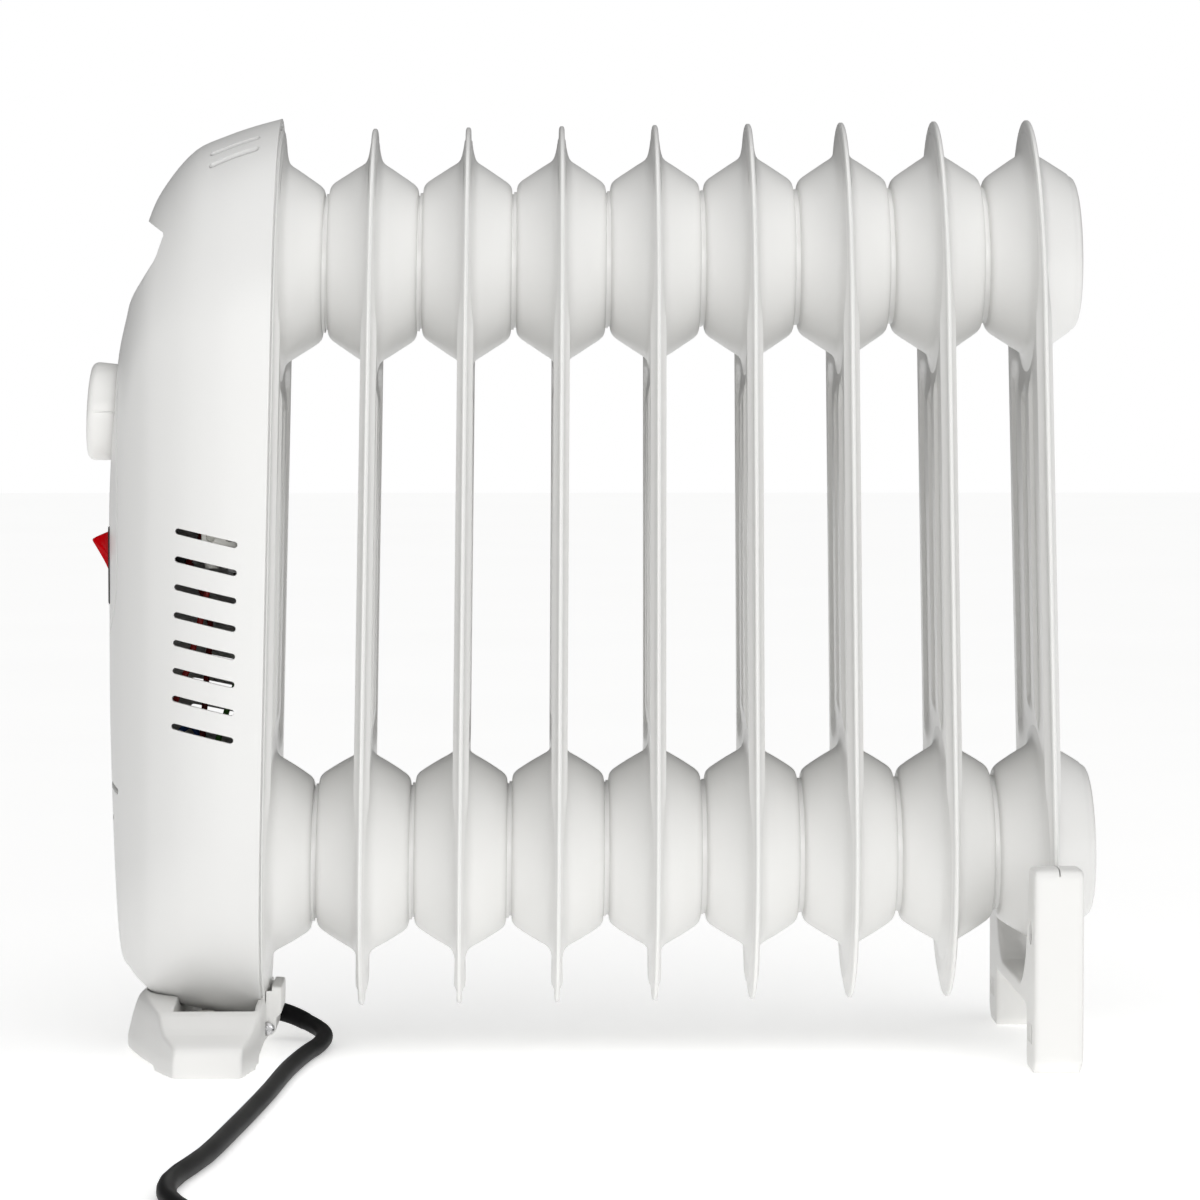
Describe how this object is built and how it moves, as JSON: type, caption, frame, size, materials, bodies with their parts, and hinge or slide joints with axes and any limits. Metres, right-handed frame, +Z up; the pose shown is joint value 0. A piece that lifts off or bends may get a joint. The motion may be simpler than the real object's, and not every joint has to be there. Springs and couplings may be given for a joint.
{
  "type": "oil filled radiator heater",
  "caption": "Small oil filled radiator heater: pressed steel fins in a row, control cover with knob and rocker switch at one end, two feet and a mains lead with plug.",
  "frame": {"origin": "on the floor, under the centre of the heater's box without its mains lead", "axes": "+X from the control cover to the last fin, +Y across the fins, +Z up"},
  "size_m": [0.4024, 0.6568, 0.3581],
  "materials": {
    "white_enamel": "gloss",
    "white_plastic": "satin",
    "ivory_plastic": "satin",
    "black_plastic": "satin",
    "black_rubber": "matte",
    "bright_steel": "satin",
    "brass": "satin",
    "gasket_rubber": "matte",
    "red_plastic": "gloss",
    "red_wire": "satin",
    "blue_wire": "satin",
    "green_wire": "satin"
  },
  "bodies": {
    "heater": {"fin_1": "white_enamel", "fin_2": "white_enamel", "fin_3": "white_enamel", "fin_4": "white_enamel", "fin_5": "white_enamel", "fin_6": "white_enamel", "fin_7": "white_enamel", "fin_8": "white_enamel", "fin_9": "white_enamel", "oil_filler_plug": "bright_steel", "element_gasket": "gasket_rubber", "element_flange": "brass", "heating_element": "bright_steel", "element_terminal_1": "brass", "element_terminal_2": "brass", "thermal_cutout": "black_plastic", "cutout_clip": "bright_steel", "upper_bracket": "bright_steel", "control_cover": "white_plastic", "thermostat_nut": "bright_steel", "thermostat_body": "black_plastic", "switch_housing": "black_plastic", "inner_lead": "black_rubber", "cord_grip": "ivory_plastic", "live_wire": "red_wire", "switched_wire": "red_wire", "cutout_wire": "red_wire", "neutral_wire": "blue_wire", "earth_wire": "green_wire", "element_wire": "red_wire", "linking_wire": "red_wire", "wire_connector": "ivory_plastic", "front_foot": "white_plastic", "pillar_1": "ivory_plastic", "pillar_2": "ivory_plastic", "pillar_screw_1": "bright_steel", "pillar_screw_2": "bright_steel", "saddle_screw": "bright_steel", "rear_foot": "white_plastic", "rear_foot_screw_1": "bright_steel", "rear_foot_screw_2": "bright_steel", "strain_relief": "black_rubber", "mains_cord": "black_rubber", "cord_coil": "black_rubber", "cord_tail": "black_rubber", "coil_tie": "black_plastic", "plug_body": "black_rubber", "plug_pin_1": "bright_steel", "plug_pin_2": "bright_steel"},
    "knob": {"thermostat_knob": "ivory_plastic", "thermostat_shaft": "bright_steel"},
    "rocker": {"power_rocker": "red_plastic"}
  },
  "joints": [
    {"name": "knob_turn", "type": "hinge", "parent": "heater", "child": "knob", "pos_m": [-0.1793, 0, 0.2456], "axis": [-0.9986, 0, 0.0523], "range_deg": [0, 290]},
    {"name": "rocker_tilt", "type": "hinge", "parent": "heater", "child": "rocker", "pos_m": [-0.1806, 0, 0.1873], "axis": [0, 1, 0], "range_deg": [0, 36]}
  ]
}
